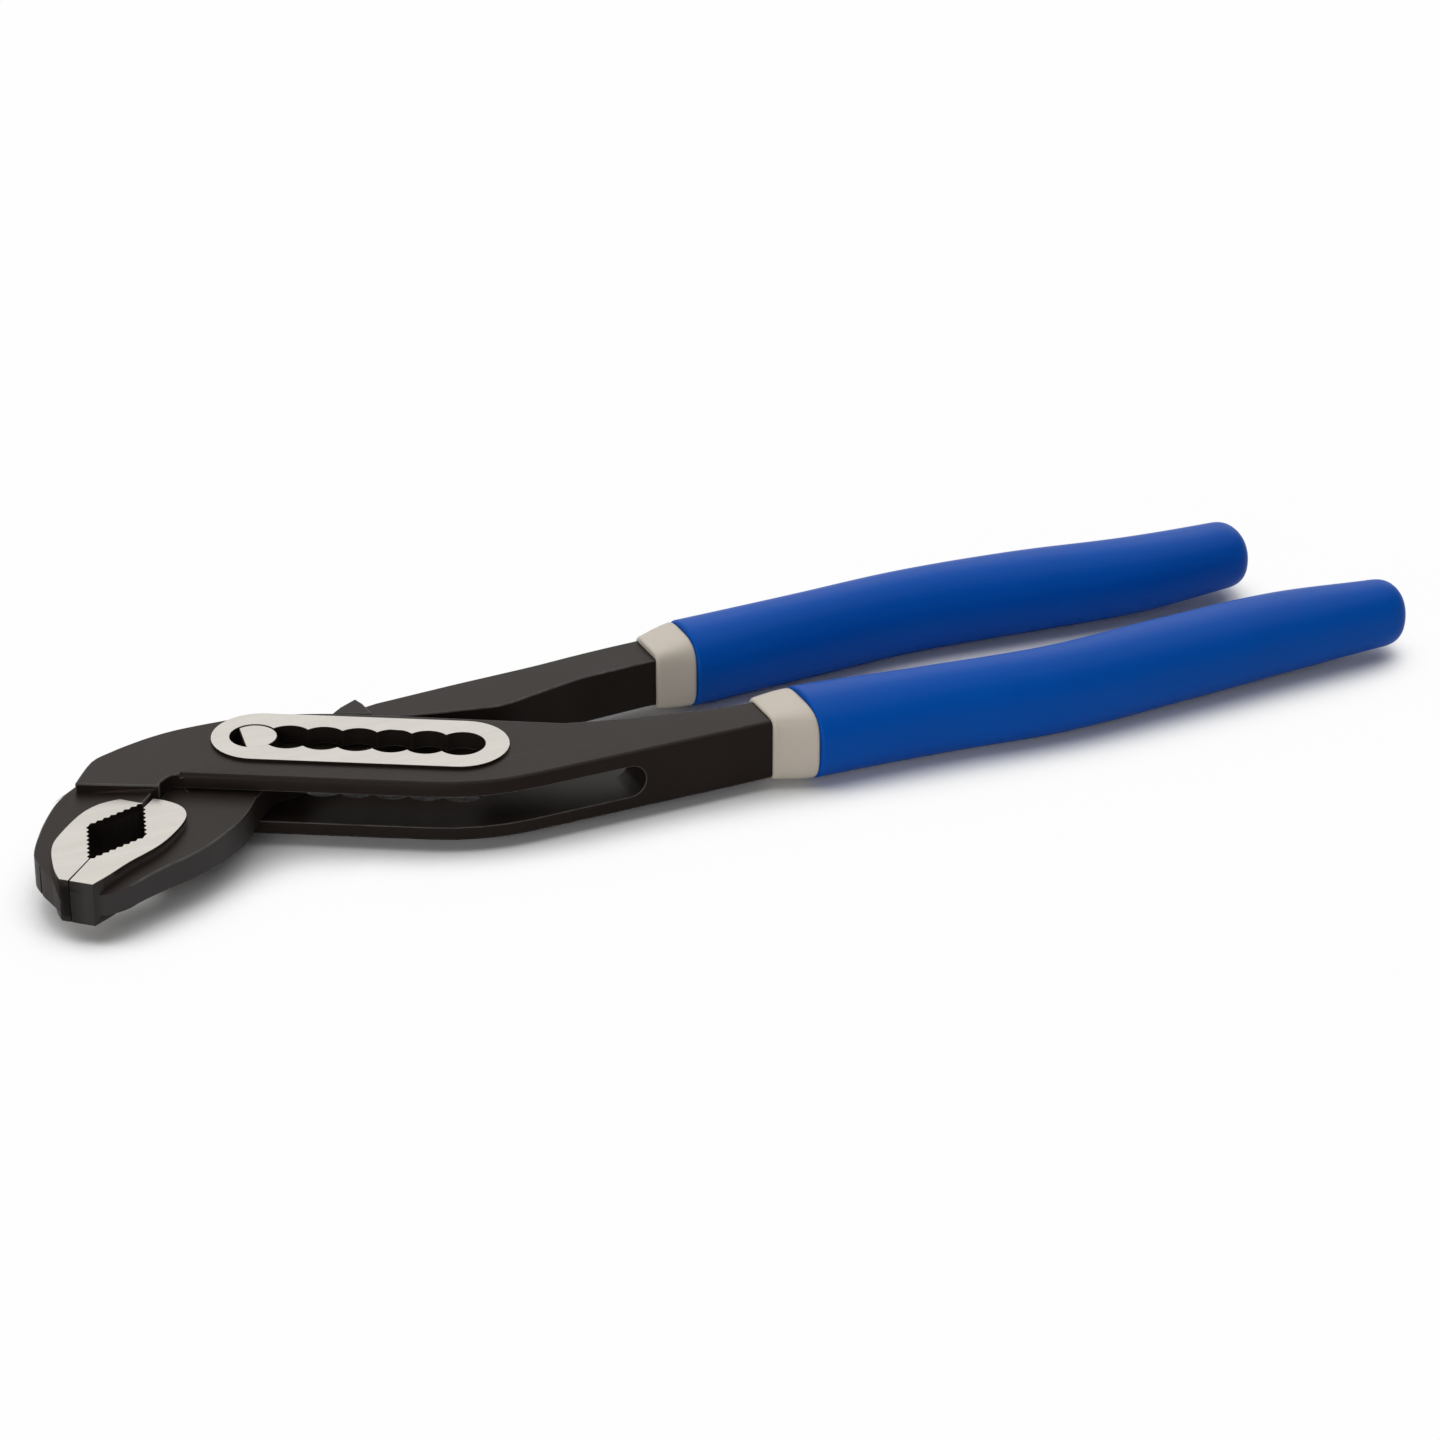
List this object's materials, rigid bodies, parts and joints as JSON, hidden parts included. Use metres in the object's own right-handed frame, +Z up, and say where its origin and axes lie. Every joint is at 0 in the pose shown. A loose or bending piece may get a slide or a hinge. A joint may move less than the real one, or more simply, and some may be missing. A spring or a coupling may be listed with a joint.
{
  "type": "slip joint pliers",
  "caption": "Box-joint slip joint pliers: an offset jaw pair with a toothed pipe grip, a pin that stands in any notch of a slot, and two dipped grips.",
  "frame": {"origin": "the middle of the outline's box, on the surface that the tool lies on", "axes": "+X towards the ends of the handles, +Y towards the inner lever's handle, +Z up, square to the tool's flat faces"},
  "size_m": [0.2462, 0.0508, 0.015],
  "materials": {
    "black_steel": "forged steel with a satin black phosphate finish",
    "ground_steel": "bare ground steel",
    "collar_plastic": "satin pale grey moulding",
    "dipped_plastic": "smooth dipped plastic, deep blue"
  },
  "bodies": {
    "outer": {"outer_lever": "black_steel", "outer_collar": "collar_plastic", "outer_grip": "dipped_plastic"},
    "pin": {"joint_pin": "ground_steel"},
    "inner": {"inner_lever": "black_steel", "inner_collar": "collar_plastic", "inner_grip": "dipped_plastic"}
  },
  "joints": [
    {"name": "notch_slide", "type": "slide", "parent": "outer", "child": "pin", "axis": [0.8695, -0.4939, 0], "range_m": [0, 0.0345]},
    {"name": "jaw_hinge", "type": "hinge", "parent": "pin", "child": "inner", "pos_m": [-0.07926, 0.01301, 0.0075], "axis": [0, 0, 1], "range_deg": [0, 72]}
  ]
}
